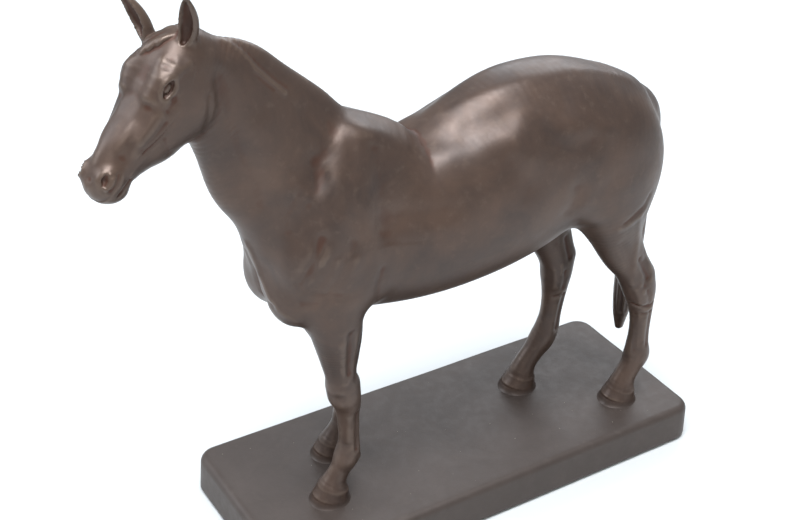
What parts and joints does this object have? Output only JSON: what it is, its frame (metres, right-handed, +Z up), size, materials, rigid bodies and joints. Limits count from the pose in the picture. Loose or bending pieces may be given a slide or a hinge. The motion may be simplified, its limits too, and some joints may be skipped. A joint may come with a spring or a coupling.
{
  "type": "animal figurine",
  "caption": "Bronze figurine of a standing horse on a low rectangular plinth, built from hollow and solid castings.",
  "frame": {"origin": "middle of the underside of the felt pad, where the plinth stands on a table", "axes": "+Z up; +X along the plinth toward the tail, so the head is at -X; -Y is the horse's near (left) side"},
  "size_m": [0.2739, 0.0854, 0.2507],
  "materials": {
    "bronze_patina": "brown patinated bronze, satin",
    "bronze_plinth": "brown patinated bronze, matt satin",
    "bronze_fittings": "bare bronze",
    "steel": "zinc plated",
    "backing_wood": "raw",
    "felt": "felt"
  },
  "bodies": {
    "root": {"base_board": "backing_wood", "board_screw_1": "steel", "board_screw_2": "steel", "board_screw_3": "steel", "board_screw_4": "steel", "core_plug_1": "bronze_fittings", "core_plug_2": "bronze_fittings", "felt_pad": "felt", "near_fore_leg_casting": "bronze_patina", "near_fore_nut": "steel", "near_fore_pin": "bronze_fittings", "near_fore_stud": "steel", "near_fore_washer": "steel", "near_hind_leg_casting": "bronze_patina", "near_hind_nut": "steel", "near_hind_pin": "bronze_fittings", "near_hind_stud": "steel", "near_hind_washer": "steel", "neck_head_casting": "bronze_patina", "neck_pin_1": "bronze_fittings", "neck_pin_2": "bronze_fittings", "neck_pin_3": "bronze_fittings", "neck_pin_4": "bronze_fittings", "neck_sleeve": "bronze_fittings", "off_fore_leg_casting": "bronze_patina", "off_fore_nut": "steel", "off_fore_pin": "bronze_fittings", "off_fore_stud": "steel", "off_fore_washer": "steel", "off_hind_leg_casting": "bronze_patina", "off_hind_nut": "steel", "off_hind_pin": "bronze_fittings", "off_hind_stud": "steel", "off_hind_washer": "steel", "plinth_casting": "bronze_plinth", "tail_casting": "bronze_patina", "tail_pin": "bronze_fittings", "torso_casting": "bronze_patina"}
  },
  "joints": []
}
